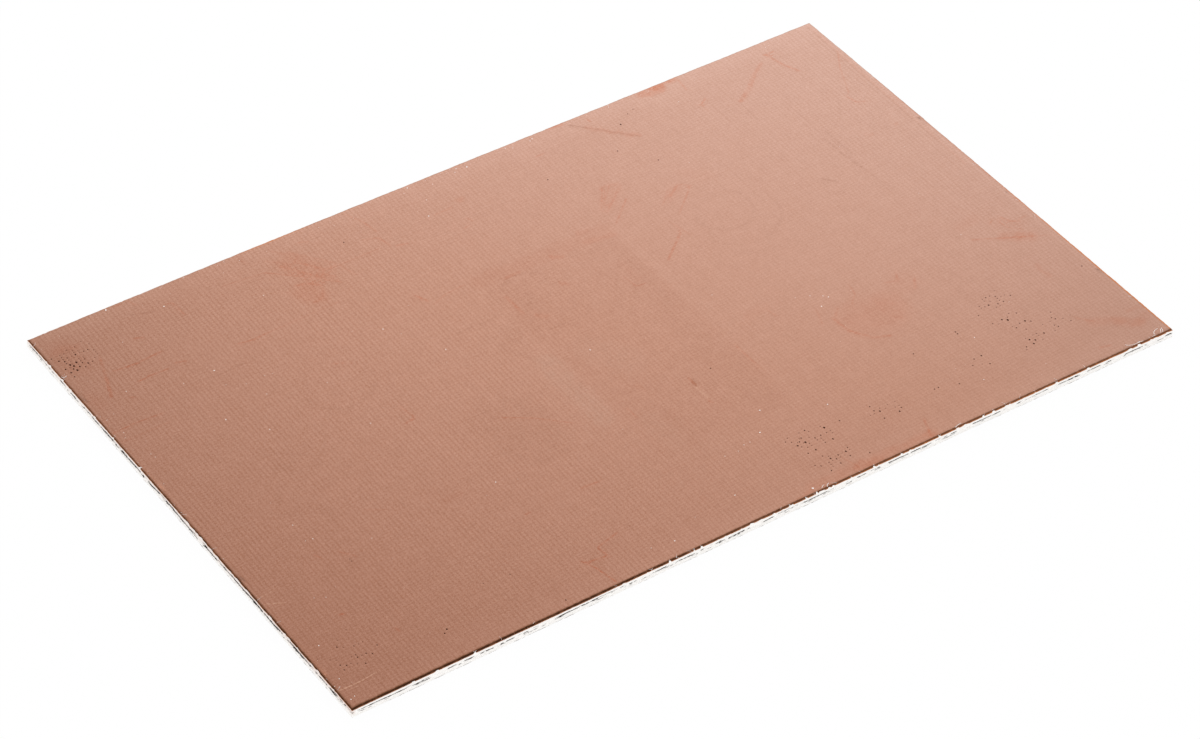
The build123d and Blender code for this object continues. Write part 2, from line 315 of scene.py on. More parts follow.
class ValueNoise:
    """Smooth noise from -1 to 1 over a plane, the same each run."""

    def __init__(self, seed):
        self.table = np.random.default_rng(seed).uniform(-1, 1, (256, 256))

    def __call__(self, x, y=0.0):
        x, y = np.broadcast_arrays(np.asarray(x, float), np.asarray(y, float))
        column, row = np.floor(x).astype(int), np.floor(y).astype(int)
        across, up = x - column, y - row
        across, up = across * across * (3 - 2 * across), up * up * (3 - 2 * up)
        corner = lambda i, j: self.table[(row + j) % 256, (column + i) % 256]
        low = corner(0, 0) * (1 - across) + corner(1, 0) * across
        high = corner(0, 1) * (1 - across) + corner(1, 1) * across
        return low * (1 - up) + high * up


def smooth_step(low, high, value):
    part = np.clip((value - low) / (high - low), 0, 1)
    return part * part * (3 - 2 * part)


# Stains, as values that the vertices of the copper carry

def beside_stroke(x, y, from_x, from_y, to_x, to_y):
    """How far a place lies to the side of a stroke, and how far beyond its ends."""
    length = math.hypot(to_x - from_x, to_y - from_y)
    way_x, way_y = (to_x - from_x) / length, (to_y - from_y) / length
    along = (x - from_x) * way_x + (y - from_y) * way_y
    aside = (y - from_y) * way_x - (x - from_x) * way_y
    return aside, np.maximum(np.maximum(-along, along - length), 0)


def nearest_line(x, y):
    """How far across the nearest thin stain each place is, in half widths, and how red, dark and light."""
    nearest = np.full(x.shape, 9.0)
    across = np.full(x.shape, 9.0)
    tones = np.zeros(x.shape + (3,))
    reach, fading = 0.9, 0.66  # how far from its middle a stain ends, and starts to fade

    def draw(tone, strength, width, aside, distance, fade, within=True):
        here = (distance < np.minimum(nearest, reach)) & within
        nearest[here] = distance[here]
        across[here] = aside[here] / width
        tones[here] = 0
        tones[here, tone] = strength * (smooth_step(reach, fading, distance) * fade)[here]

    for tone, lines in enumerate((red_lines, dark_lines, light_lines)):
        for *stroke, width, strength in lines:
            aside, beyond = beside_stroke(x, y, *stroke)
            draw(tone, strength, width, aside, np.hypot(aside, beyond), smooth_step(0.4, -0.1, beyond))
    for middle_x, middle_y, radius, start, end, width, strength in cup_rings:
        aside = np.hypot(x - middle_x, y - middle_y) - radius
        angle = (np.degrees(np.arctan2(y - middle_y, x - middle_x)) - start) % 360
        fade = smooth_step(0, 25, np.minimum(angle, end - start - angle))
        draw(1, strength, width, aside, np.abs(aside), fade, angle < end - start)
    return across, tones


def blots(x, y):
    """How red, dark and light the broad stains make a place."""
    shift_x, shift_y, patchy = ValueNoise(61), ValueNoise(62), ValueNoise(63)
    bent_x = x + 0.35 * shift_x(x / 1.4, y / 1.4)
    bent_y = y + 0.35 * shift_y(x / 1.4, y / 1.4)
    tones = np.zeros(x.shape + (3,))
    for tone, patches in enumerate((red_blots, dark_blots, light_blots)):
        for *stroke, width, strength in patches:
            distance = np.hypot(*beside_stroke(bent_x, bent_y, *stroke)) / width
            tones[..., tone] += strength * smooth_step(1.0, 0.35, distance)
    left = np.where(bent_y > 3, label_left, label_left_below)
    under_label = (
        smooth_step(left - 0.5, left + 0.9, bent_x)
        * smooth_step(label_right + 0.5, label_right - 0.7, bent_x)
        * smooth_step(label_low - 0.5, label_low + 0.6, bent_y)
        * smooth_step(label_high + 0.4, label_high - 0.8, bent_y)
    )
    tones[..., 1] += 0.09 * under_label
    tones[..., 0] += 0.05 * under_label
    return tones * (1 + 0.3 * patchy(x / 0.9, y / 0.9))[..., None]


# Meshes

def add_object(name, data):
    added = bpy.data.objects.new(name, data)
    bpy.context.scene.collection.objects.link(added)
    return added


def mesh_piece(name, vertices, faces, material, node=None, attributes=None, smooth=True):
    """A piece of the board, from vertices in millimetres, in place of the CAD node if one is named."""
    mesh = bpy.data.meshes.new(name)
    mesh.from_pydata((np.asarray(vertices) * MM).tolist(), [], faces)
    mesh.update()
    for label, values in (attributes or {}).items():
        values = np.asarray(values, np.float32)
        kind, field = ("FLOAT_VECTOR", "vector") if values.ndim == 2 else ("FLOAT", "value")
        mesh.attributes.new(label, kind, "POINT").data.foreach_set(field, values.ravel())
    mesh.materials.append(material)
    if smooth:
        mesh.shade_smooth()
        mesh.set_sharp_from_angle(angle=math.radians(50))
    piece = add_object(name, mesh)
    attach(piece, "root")
    if node:
        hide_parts(node)


class Perimeter:
    """Evenly spaced places round the board's outline, anticlockwise from the front left corner."""

    def __init__(self, spacing):
        lengths = (2 * half_length, 2 * half_width) * 2
        counts = [round(length / spacing) for length in lengths]
        starts = np.cumsum((0.0,) + lengths[:3])
        self.side = np.repeat(range(4), counts)
        self.along = np.concatenate([np.arange(count) / count for count in counts])
        self.run = np.concatenate([
            start + length * np.arange(count) / count for start, length, count in zip(starts, lengths, counts)
        ])
        self.count = len(self.side)
        self.on_long_side = self.side % 2 == 0
        self.place = self.side + self.along
        self.at_corner = self.along == 0
        corner_x = np.array([-1, 1, 1, -1, -1])
        corner_y = np.array([-1, -1, 1, 1, -1])
        self.unit_x = corner_x[self.side] * (1 - self.along) + corner_x[self.side + 1] * self.along
        self.unit_y = corner_y[self.side] * (1 - self.along) + corner_y[self.side + 1] * self.along
        self.out_x = np.where(self.at_corner, corner_x[self.side], np.array([0.0, 1.0, 0.0, -1.0])[self.side])
        self.out_y = np.where(self.at_corner, corner_y[self.side], np.array([-1.0, 0.0, 1.0, 0.0])[self.side])
        middle, start, end = np.array(cut_bows)[self.side].T
        to_start, to_end = (np.maximum(1 - t / bow_reach, 0) ** 2 for t in (self.along, 1 - self.along))
        bow = middle * np.sin(np.pi * self.along) + start * to_start + end * to_end
        bow_before = np.array(cut_bows)[self.side - 1][:, 2]
        self.bow_x = self.out_x * np.where(self.on_long_side, bow_before, bow)
        self.bow_y = self.out_y * np.where(self.on_long_side, bow, bow_before)

    def by_side(self, long_value, short_value):
        """One value for the long sides and one for the short ones. A corner has the lower one."""
        values = np.where(self.on_long_side, long_value, short_value)
        return np.where(self.at_corner, min(long_value, short_value), values)

    def ring(self, long_inset, short_inset, height, push=0.0):
        """Vertices round the board, inset from its outline, each then pushed outwards by its own amount."""
        x = self.unit_x * (half_length - short_inset) + self.bow_x + self.out_x * push
        y = self.unit_y * (half_width - long_inset) + self.bow_y + self.out_y * push
        return np.stack([x, y, np.broadcast_to(height, x.shape)], 1)

    def nicks(self):
        """How far the rim of the copper is torn back at each place."""
        torn = np.zeros(self.count)
        for side, middle, reach, deep in rim_nicks:
            offset = (self.unit_x * half_length if side == FRONT else self.unit_y * half_width) - middle
            nick = deep * smooth_step(1.0, 0.35, np.abs(offset) / reach)
            torn = np.maximum(torn, np.where(self.side == side, nick, 0))
        return torn

    def shadow(self):
        """How much painted shade the rim gets at each place: most where the front and the left meet, less
        along them, a little at the front right corner.
        """
        dark = np.zeros(self.count)
        front, left = self.side == FRONT, self.side == LEFT
        dark[front] = 1.0 - 0.60 * smooth_step(0.1, 0.75, self.along[front])
        dark[left] = 0.58 + 0.30 * smooth_step(0.1, 0.9, self.along[left])
        dark[(self.side == RIGHT) & self.at_corner] = 0.4
        return dark

    def bare(self):
        """How bare and orange the rolled copper is at each place: least at the back right."""
        bare = np.ones(self.count)
        right, back = self.side == RIGHT, self.side == BACK
        bare[right] = 1.0 - 0.65 * smooth_step(0.1, 0.7, self.along[right])
        bare[back] = 0.2 + 0.55 * smooth_step(0.08, 0.0, np.abs(self.along[back] - 0.71))
        return bare


class Rim:
    """The edge of a foil: how tightly it is rolled on the long and short sides, and how far the cut leans."""

    def __init__(self, long_radius, short_radius, lean):
        self.long_radius, self.short_radius, self.lean = long_radius, short_radius, lean

    def section(self, radius, depth, angle):
        """Inset and height over the face of a place `depth` under it, where it has turned down by `angle`."""
        drop_at_cut = radius * (1 - math.cos(roll_angle))
        roll_start = self.lean * (1 - drop_at_cut / board_top) + radius * math.sin(roll_angle)
        return roll_start - (radius - depth) * math.sin(angle), (radius - depth) * math.cos(angle) - radius

    def ring(self, perimeter, depth, angle, push=0.0, lift=0.0):
        long_inset, long_height = self.section(self.long_radius, depth, angle)
        short_inset, short_height = self.section(self.short_radius, depth, angle)
        height = perimeter.by_side(long_height, short_height) + lift
        return perimeter.ring(long_inset, short_inset, height, push)


upper_rim = Rim(long_side_roll_radius, short_side_roll_radius, cut_lean)
lower_rim = Rim(lower_edge_radius, lower_edge_radius, 0.0)


def join_rings(first, second, count):
    """Quads between two rings of `count` vertices, by the number of the first vertex of each, outer first."""
    return [
        (first + i, first + (i + 1) % count, second + (i + 1) % count, second + i)
        for i in range(count)
    ]


def zip_rings(outer, outer_places, inner, inner_places):
    """Triangles between two rings of vertex numbers whose places run from 0 to 4 round the board."""
    outer, inner = list(outer) + [outer[0]], list(inner) + [inner[0]]
    outer_places, inner_places = list(outer_places) + [4.0], list(inner_places) + [4.0]
    triangles = []
    i = j = 0
    while i < len(outer) - 1 or j < len(inner) - 1:
        inner_is_done = j == len(inner) - 1
        if inner_is_done or (i < len(outer) - 1 and outer_places[i + 1] <= inner_places[j + 1]):
            triangles.append((outer[i], outer[i + 1], inner[j]))
            i += 1
        else:
            triangles.append((outer[i], inner[j + 1], inner[j]))
            j += 1
    return triangles


def weave_height(x, y):
    """Rise of the foil over the cloth under it."""
    column = (x - yarn_tilt * y) / yarn_pitch_x
    row = y / yarn_pitch_y
    knuckle = knuckle_rise * np.cos(np.pi * column) * np.cos(np.pi * row)
    return yarn_rise * np.cos(2 * np.pi * column) + knuckle


def woven_sheet(half_x, half_y, pits):
    """The flat of a foil with the cloth's print and its pits, cut to a rectangle, in millimetres."""
    last_column = math.ceil((half_x + 2) / yarn_pitch_x) * 2
    last_row = math.ceil((half_y + 1) / yarn_pitch_y)
    columns = np.arange(-last_column, last_column + 1)
    rows = np.arange(-last_row, last_row + 1)
    y = np.repeat(rows * yarn_pitch_y, len(columns))
    x = np.tile(columns * yarn_pitch_x / 2, len(rows)) + yarn_tilt * y
    column = np.tile(columns, len(rows))
    wobble, wander = ValueNoise(3), ValueNoise(4)
    z = weave_height(x, y) * (1 + 0.35 * wobble(column * 0.71, y / 9)) + 0.0008 * wander(column * 0.5, y / 4)
    vertices = np.stack([x, y, z], 1)
    width = len(columns)
    quads = {}
    for row in range(len(rows) - 1):
        for start in range(row * width, (row + 1) * width - 1):
            quads[start] = (start + width + 1, start + width, start, start + 1)
    # Each pit takes the place of one quad: a rim, a floor and the floor's middle
    extra, extra_depth, faces = [], [], []
    for pit_x, pit_y, radius, deep in pits:
        row = math.floor(pit_y / yarn_pitch_y) - rows[0]
        start = row * width + math.floor((pit_x - yarn_tilt * pit_y) * 2 / yarn_pitch_x) - columns[0]
        corners = quads.pop(start, None)
        if corners is None:
            continue
        centre = vertices[list(corners)].mean(0)
        first = len(vertices) + len(extra)
        for share, down in ((1.0, 0.0), (pit_floor, pit_floor)):
            for step in range(pit_corners):
                turn = math.radians(360 / pit_corners * step)
                reach = radius * share * (1 + 0.18 * math.sin(3 * turn + 40 * pit_x))
                offset = [reach * math.cos(turn), pit_stretch * reach * math.sin(turn), -deep * down]
                extra.append(centre + offset)
                extra_depth.append(0.05 + 1.2 * down)
        extra.append(centre - [0, 0, deep])
        extra_depth.append(1.0)
        rim = lambda step: first + step % pit_corners
        floor = lambda step: first + pit_corners + step % pit_corners
        for k in range(4):
            faces.append((rim(2 * k), corners[k], rim(2 * k + 1)))
            faces.append((rim(2 * k + 1), corners[k], rim(2 * k + 2)))
            faces.append((corners[k], corners[(k + 1) % 4], rim(2 * k + 2)))
        for step in range(pit_corners):
            faces.append((rim(step), rim(step + 1), floor(step + 1), floor(step)))
            faces.append((floor(step), floor(step + 1), first + 2 * pit_corners))
    mesh = bpy.data.meshes.new("woven_sheet")
    places = np.concatenate([vertices, np.array(extra).reshape(-1, 3)])
    mesh.from_pydata(places.tolist(), [], list(quads.values()) + faces)
    depth = np.concatenate([np.zeros(len(vertices)), extra_depth])
    mesh.attributes.new("pit", "FLOAT", "POINT").data.foreach_set("value", depth)
    sheet = bmesh.new()
    sheet.from_mesh(mesh)
    bpy.data.meshes.remove(mesh)
    for way in (Vector((1, 0, 0)), Vector((-1, 0, 0)), Vector((0, 1, 0)), Vector((0, -1, 0))):
        bmesh.ops.bisect_plane(
            sheet, geom=sheet.verts[:] + sheet.edges[:] + sheet.faces[:], dist=1e-6,
            plane_co=way * (half_x if way.x else half_y), plane_no=way, clear_outer=True,
        )
    return sheet


def outline_place(x, y, half_x, half_y):
    """How far round the outline of a rectangle a place on it is, from 0 at the front left corner to 4."""
    touching = 1e-4
    if abs(y + half_y) < touching:
        return (x + half_x) / (2 * half_x)
    if abs(x - half_x) < touching:
        return 1 + (y + half_y) / (2 * half_y)
    if abs(y - half_y) < touching:
        return 2 + (half_x - x) / (2 * half_x)
    return (3 + (half_y - y) / (2 * half_y)) % 4


def pit_places():
    """Middle, radius and depth of each pit: first those that stand out, then those of the clusters."""
    pick = random.Random(11)
    nearest_allowed = 0.45
    places = []
    kinds = ((black_pits, 0.185, 0.024), (wide_pits, 0.145, 0.02), (narrow_pits, 0.11, 0.014))
    for pits, radius, deep in kinds:
        places += [(x, y, radius, deep) for x, y in pits]
    for middle_x, middle_y, reach_x, reach_y, share in pit_clusters:
        first_row, last_row = ((middle_y + sign * reach_y) / yarn_pitch_y for sign in (-1, 1))
        first_column, last_column = ((middle_x + sign * reach_x) / yarn_pitch_x for sign in (-1, 1))
        for row in range(math.ceil(first_row), math.floor(last_row) + 1):
            for column in range(math.ceil(first_column), math.floor(last_column) + 1):
                x = (column + 0.25) * yarn_pitch_x
                y = (row + 0.5) * yarn_pitch_y
                from_middle = math.hypot((x - middle_x) / reach_x, (y - middle_y) / reach_y)
                radius, deep = 0.055 + 0.05 * pick.random() ** 2, pick.uniform(0.006, 0.012)
                pitted = pick.random() < 0.75 * share * (1.3 - from_middle)
                x += yarn_tilt * y
                crowded = any(math.hypot(x - other[0], y - other[1]) < nearest_allowed for other in places)
                if pitted and from_middle < 1.1 and not crowded:
                    places.append((x, y, radius, deep))
    return places


def copper_sheet(name, node, material, rim, pits, underside=False):
    """One foil: woven face, sheared rim, cut edge and the flat side that is bonded to the laminate."""
    perimeter = Perimeter(foil_rim_spacing)
    thickness = foil_thickness - (weave_crest if underside else 0)
    flat_x = half_length - rim.section(rim.short_radius, 0, 0)[0] - flat_margin
    flat_y = half_width - rim.section(rim.long_radius, 0, 0)[0] - flat_margin
    sheet = woven_sheet(flat_x, flat_y, pits)
    place_of = lambda vertex: outline_place(vertex.co.x, vertex.co.y, flat_x, flat_y)
    boundary = {v for e in sheet.edges if e.is_boundary for v in e.verts}
    for vertex in boundary:
        vertex.co.z = 0
    boundary = sorted(boundary, key=place_of)
    sheet.verts.index_update()
    order = [v.index for v in boundary]
    places = [place_of(v) for v in boundary]
    vertices = [np.array([v.co[:] for v in sheet.verts])]
    pit_layer = sheet.verts.layers.float["pit"]
    pit = [np.array([v[pit_layer] for v in sheet.verts])]
    faces = [tuple(v.index for v in f.verts) for f in sheet.faces]
    sheet.free()
    total = len(pit[0])
    roll, shadow = [np.zeros(total)], [np.zeros(total)]
    # Rings of the rim, from the flat outwards over the roll and back under
    ragged = ValueNoise(22 if underside else 21)
    burr = 0.020 * ragged(perimeter.run / 0.45) + 0.026 * ragged(perimeter.run / 2.3, 9.0)
    nick = 0.07 * smooth_step(0.62, 0.9, ragged(perimeter.run / 0.9, 17.0))
    nick = nick if underside else np.maximum(nick, perimeter.nicks())
    far = (perimeter.side == RIGHT) | (perimeter.side == BACK)
    drawn_down = np.where(perimeter.side == LEFT, 0.04 * smooth_step(0.1, 0.9, perimeter.along), 0.0)
    for turned, deep, dark in rim_steps:
        push = (burr - nick) * smooth_step(0.2, 1.0, turned)
        lift = (0.5 * burr - drawn_down) * smooth_step(0.5, 1.0, turned)
        vertices.append(rim.ring(perimeter, deep * thickness, turned * roll_angle, push, lift))
        roll.append(perimeter.bare() * np.maximum(0.12 + 0.88 * turned, 0.5 * far))
        # Painted shade on the rim: the side's share times the step's share
        shadow.append(perimeter.shadow() * dark)
        pit.append(np.zeros(perimeter.count))
    faces += zip_rings(range(total, total + perimeter.count), perimeter.place, order, places)
    starts = range(total, total + len(rim_steps) * perimeter.count, perimeter.count)
    for start, next_start in zip(starts, starts[1:]):
        faces += join_rings(next_start, start, perimeter.count)
    faces.append(tuple(range(starts[-1] + perimeter.count - 1, starts[-1] - 1, -1)))
    vertices = np.concatenate(vertices)
    attributes = {"pit": np.concatenate(pit), "roll": np.concatenate(roll)}
    if underside:
        vertices[:, 2] = weave_crest - vertices[:, 2]
        faces = [face[::-1] for face in faces]
        # The underside's rim gets painted shade as far as its roll turns
        attributes["shadow"] = attributes["roll"]
    else:
        vertices[:, 2] += board_top
        attributes["shadow"] = np.concatenate(shadow)
        x, y = vertices[:, 0], vertices[:, 1]
        attributes["across_line"], attributes["line"] = nearest_line(x, y)
        attributes["blot"] = blots(x, y)
    mesh_piece(name, vertices, faces, material, node, attributes)


def laminate(material):
    """The glass-epoxy core: rolled over with the foil at the top, sheared smooth under it, and torn below."""
    perimeter = Perimeter(wall_spacing)
    run = perimeter.run
    coarse, fine, streak, yarn_end = (ValueNoise(seed) for seed in (31, 32, 33, 34))
    glue_gap = 0.002
    rings, painted_split_shade = [], []
    for turned in (0, 0.5, 0.85):
        ring = upper_rim.ring(perimeter, foil_thickness + glue_gap, turned * roll_angle)
        rings.append(ring + [0, 0, board_top])
        painted_split_shade.append(np.zeros(perimeter.count))
    under_cut_foil = 0.04
    long_top, short_top = (
        board_top + upper_rim.section(radius, foil_thickness, roll_angle)[1] - under_cut_foil
        for radius in (long_side_roll_radius, short_side_roll_radius)
    )
    top = perimeter.by_side(long_top, short_top)
    # The left side is torn deepest, most of all near the front
    left_side = np.where(perimeter.side == LEFT, 1.0, 0.0)
    toward_front = left_side * perimeter.along
    toward_right = np.where(perimeter.side == FRONT, perimeter.along, 0.0)
    ragged = 0.15 * left_side + 0.30 * toward_front - 0.15 * toward_right
    start_of_split, contrast = -0.15 + 0.15 * left_side, 0.6 - 0.30 * left_side
    splits = []
    for number, (height, wander, thin) in enumerate(wall_splits):
        seed = 7.0 * number
        middle = height + wander * (1 + left_side) * coarse(run / 4, seed) + 0.035 * fine(run / 0.8, seed)
        gaping = coarse(run / 1.5, seed + 3) + 0.7 * fine(run / 0.45, seed + 3) + ragged
        gaping = gaping - (0.0 if number == 1 else 0.35)
        opened = smooth_step(start_of_split, start_of_split + contrast, gaping)
        crumbled = np.maximum(1 + (0.4 + 0.6 * left_side) * fine(run / 0.42, seed + 11), 0)
        deep = (0.4 - 0.12 * left_side + 0.42 * toward_front) * opened * crumbled
        deep = deep * (1 - 0.65 * smooth_step(0.89, 0.96, toward_front))
        splits.append((middle, thin * (0.75 + 0.5 * opened) * (1 + 0.7 * left_side), deep))
    for row in range(wall_rows + 1):
        share = row / wall_rows
        height = top * (1 - share) + foil_thickness * share
        opening = np.zeros(perimeter.count)
        for middle, thin, deep in splits:
            opening = np.maximum(opening, deep * np.exp(-(((height - middle) / thin) ** 2)))
        torn = smooth_step(0.05, -0.1, height - splits[1][0])
        ply = (height - foil_thickness) / ply_pitch
        yarn = run / yarn_pitch_x + 0.5 * np.floor(ply) + 0.4 * yarn_end(run / 3, np.floor(ply))
        ends = 0.5 + 0.5 * np.cos(2 * np.pi * yarn)
        cloth = 0.022 * np.abs(np.sin(np.pi * ply)) * ends * smooth_step(1.15, 0.9, height)
        lumps = 0.045 * fine(run / 0.33, height / 0.12) + 0.03 * streak(run / 0.9, height / 0.25)
        push = cloth - opening + torn * (lumps + 0.015) + 0.008 * fine(run / 0.25, height / 0.3)
        if row in (0, wall_rows):
            push = push * 0
        rings.append(perimeter.ring(0.0, 0.0, height, push - cut_lean * height / board_top))
        # Painted shade in the splits, by how far they gape
        painted_split_shade.append(np.clip((opening + 0.25 * np.maximum(-torn * lumps, 0)) / 0.2, 0, 1.5))
    faces = [tuple(range(perimeter.count))]
    for number in range(len(rings) - 1):
        faces += join_rings((number + 1) * perimeter.count, number * perimeter.count, perimeter.count)
    last = (len(rings) - 1) * perimeter.count
    faces.append(tuple(range(last + perimeter.count - 1, last - 1, -1)))
    mesh_piece(
        "glass_epoxy_laminate", np.concatenate(rings), faces, material, "glass_epoxy_core",
        {"painted_split_shade": np.concatenate(painted_split_shade)},
    )


def face_height(x, y):
    """Height of the copper face over the floor, on the flat and on the roll."""
    height = board_top
    insets = (half_width - abs(y), half_length - abs(x))
    for inset, radius in zip(insets, (long_side_roll_radius, short_side_roll_radius)):
        roll_start = upper_rim.section(radius, 0, 0)[0]
        turned = min(max(roll_start - inset, 0) / radius, math.sin(roll_angle))
        height = min(height, board_top - radius * (1 - math.sqrt(1 - turned * turned)))
    return height


def glass_specks(material):
    """Flakes and dust of glass that lie on the copper, and the chips that stick out over its rim."""
    pick = random.Random(5)
    dust_count, corners = 260, 6
    places = list(specks)
    for _ in range(dust_count):
        side = pick.random()
        if side < 0.30:
            x, y = pick.uniform(-78, 78), half_width - 0.6 - 2.5 * pick.random() ** 2
        elif side < 0.45:
            x, y = -half_length + 0.5 + 4 * pick.random() ** 2, pick.uniform(-48, 48)
        else:
            x, y = pick.uniform(-79, 79), pick.uniform(-49, 49)
        places.append((x, y, 0.05 + 0.10 * pick.random() ** 3))
    for side, middle, reach, deep in rim_nicks:
        for _ in range(round(1 + 3 * reach)):
            along = middle + pick.uniform(-0.8, 0.8) * reach
            inset = pick.uniform(0.12, 0.50)
            x, y = (along, inset - half_width) if side == FRONT else (inset - half_length, along)
            places.append((x, y, pick.uniform(0.08, 0.08 + 1.1 * deep)))
    vertices, faces = [], []
    for x, y, size in places:
        low = len(vertices)
        high = low + corners
        turn, slim = pick.uniform(0, math.pi), pick.uniform(0.45, 0.9)
        for share, rise in ((1.0, 0.0), (0.6, min(0.22 * size, 0.028))):
            for corner in range(corners):
                angle = 2 * math.pi * corner / corners
                reach = size / 2 * share * (0.75 + 0.35 * pick.random())
                u, v = reach * math.cos(angle), reach * math.sin(angle) * slim
                px = x + u * math.cos(turn) - v * math.sin(turn)
                py = y + u * math.sin(turn) + v * math.cos(turn)
                vertices.append((px, py, face_height(px, py) + 0.004 + rise))
        faces += join_rings(low, high, corners)
        faces += [tuple(range(high, high + corners)), tuple(range(high - 1, low - 1, -1))]
    mesh_piece("glass_specks", vertices, faces, material, smooth=False)


def smooth_route(route):
    """The route's points with three more on a smooth curve between each two."""
    points = np.array(route)
    smooth = []
    for number in range(len(points) - 1):
        before, after = points[max(number - 1, 0)], points[min(number + 2, len(points) - 1)]
        start, end = points[number], points[number + 1]
        for share in (0.0, 0.25, 0.5, 0.75):
            smooth.append(0.5 * (
                2 * start + (end - before) * share + (2 * before - 5 * start + 4 * end - after) * share ** 2
                + (3 * start - before - 3 * end + after) * share ** 3
            ))
    return smooth + [points[-1]]


def loose_fibres(material):
    """Fibres of glass that the blade pulled out, lying over the copper near its rim."""
    pick = random.Random(8)
    thick_fibre, fibre_count, ring_size = 0.036, 45, 5
    routes = [(route, thick_fibre) for route in fibres]
    for _ in range(fibre_count):
        side, along = pick.choice((0, 0, 1, 2, 3)), pick.uniform(-0.97, 0.97)
        reach, drift = pick.uniform(0.25, 1.1), pick.uniform(-0.9, 0.9)
        inner = pick.uniform(0.0, 0.3)
        sign = 1 if side in (RIGHT, BACK) else -1
        route = []
        for share in (0.0, 0.5, 1.0):
            inset = 0.08 + inner + reach * share * (1 - 0.5 * abs(drift))
            slide = drift * reach * share ** 1.5
            if side in (FRONT, BACK):
                route.append((along * half_length + slide, (half_width - inset) * sign))
            else:
                route.append(((half_length - inset) * sign, along * half_width + slide))
        routes.append((route, pick.uniform(0.008, 0.020)))
    vertices, faces = [], []
    for route, radius in routes:
        smooth = smooth_route(route)
        first = len(vertices)
        for number, spot in enumerate(smooth):
            ahead = smooth[min(number + 1, len(smooth) - 1)] - smooth[max(number - 1, 0)]
            ahead = ahead / np.hypot(*ahead)
            taper = radius * (0.35 if number in (0, len(smooth) - 1) else 1.0)
            middle = face_height(*spot) + 0.55 * radius + 0.003
            for step in range(ring_size):
                angle = 2 * math.pi * step / ring_size
                aside, rise = taper * math.cos(angle), 0.55 * taper * math.sin(angle)
                vertices.append((spot[0] - ahead[1] * aside, spot[1] + ahead[0] * aside, middle + rise))
        last = first + (len(smooth) - 1) * ring_size
        for start in range(first, last, ring_size):
            faces += join_rings(start, start + ring_size, ring_size)
        faces += [tuple(range(first + ring_size - 1, first - 1, -1)), tuple(range(last, last + ring_size))]
    mesh_piece("loose_glass_fibres", vertices, faces, material)


# Materials

class Graph:
    """Short forms of the shader nodes that a material or the world is made of."""

    def __init__(self, owner):
        owner.use_nodes = True
        self.owner = owner
        self.tree = owner.node_tree
        self.tree.nodes.clear()

    def node(self, kind, inputs=None, **settings):
        made = self.tree.nodes.new(kind)
        for label, value in settings.items():
            setattr(made, label, value)
        for socket, value in (inputs or {}).items():
            if isinstance(value, bpy.types.NodeSocket):
                self.tree.links.new(value, made.inputs[socket])
            else:
                made.inputs[socket].default_value = value
        return made

    def math(self, operation, first, second=0.0):
        return self.node("ShaderNodeMath", {0: first, 1: second}, operation=operation).outputs[0]

    def add(self, first, second):
        return self.math("ADD", first, second)

    def times(self, first, second):
        return self.math("MULTIPLY", first, second)

    def fit(self, value, low, high, to_low=0.0, to_high=1.0):
        """The value taken smoothly from one range to another."""
        sockets = {"Value": value, "From Min": low, "From Max": high, "To Min": to_low, "To Max": to_high}
        return self.node("ShaderNodeMapRange", sockets, interpolation_type="SMOOTHSTEP").outputs["Result"]

    def either_way(self, value, low, high, most):
        return self.fit(value, low, high, -most, most)

    def place(self, scale=(1, 1, 1), move=(0, 0, 0)):
        """The place on the board in millimetres, times a scale."""
        coordinates = self.node("ShaderNodeTexCoord").outputs["Object"]
        sockets = {"Vector": coordinates, "Scale": tuple(s / MM for s in scale), "Location": move}
        return self.node("ShaderNodeMapping", sockets).outputs["Vector"]

    def noise(self, scale, detail=2.0, rough=0.5, move=(0, 0, 0), stretch=(1, 1, 1)):
        """Noise from about 0 to 1, with `scale` lumps to the millimetre."""
        vector = self.place(tuple(scale * s for s in stretch), move)
        sockets = {"Vector": vector, "Scale": 1.0, "Detail": detail, "Roughness": rough}
        return self.node("ShaderNodeTexNoise", sockets).outputs["Fac"]

    def colour_mix(self, share, first, second, blend="MIX"):
        sockets = {0: share, 6: first, 7: second}
        return self.node("ShaderNodeMix", sockets, data_type="RGBA", blend_type=blend).outputs[2]

    def tinted(self, colour, share, tint):
        """The colour multiplied by a tint, by as much as the share says, also past 1."""
        by_channel = [self.add(1.0, self.times(share, channel - 1)) for channel in tint]
        factor = self.node("ShaderNodeCombineXYZ", dict(enumerate(by_channel))).outputs[0]
        return self.colour_mix(1.0, colour, factor, "MULTIPLY")

    def attribute(self, label, output="Fac"):
        return self.node("ShaderNodeAttribute", attribute_name=label).outputs[output]

    def channels(self, vector):
        return self.node("ShaderNodeSeparateXYZ", {0: vector}).outputs

    def bump(self, height, strength, distance):
        sockets = {"Strength": strength, "Distance": distance * MM, "Height": height}
        return self.node("ShaderNodeBump", sockets).outputs[0]

    def finish(self, shader, output="ShaderNodeOutputMaterial"):
        self.tree.links.new(shader, self.node(output).inputs["Surface"])
        return self.owner


def linear(red, green, blue):
    """A colour given as it shows on a screen, 0 to 255, as the shader wants it."""
    channels = [c / 255 for c in (red, green, blue)]
    return tuple(c / 12.92 if c <= 0.04045 else ((c + 0.055) / 1.055) ** 2.4 for c in channels) + (1.0,)


# Painted light: the copper from its darkest, at the front left, to its lightest, at the back right
copper_painted_dim = linear(164, 117, 97)
copper_painted_middle = linear(177, 133.5, 114.5)
copper_painted_bright = linear(188, 152.5, 138.5)
bare_copper = linear(208, 128, 72)
# Painted shade of the rim: brown, then dark brown
rim_painted_brown_shade = linear(122, 80, 57)
rim_painted_dark_shade = linear(70, 43, 29)
pit_brown = linear(62, 34, 26)
copper_mirror = (1.0, 0.72, 0.55, 1.0)
# Shade changes all three channels alike as they show on a screen, so the darker ones change by a larger share
shade_tint = (1.9, 2.35, 2.7)
red_tint = (0.975, 0.80, 0.73)
dark_tint = (0.82, 0.78, 0.75)
light_tint = (1.22, 1.34, 1.37)


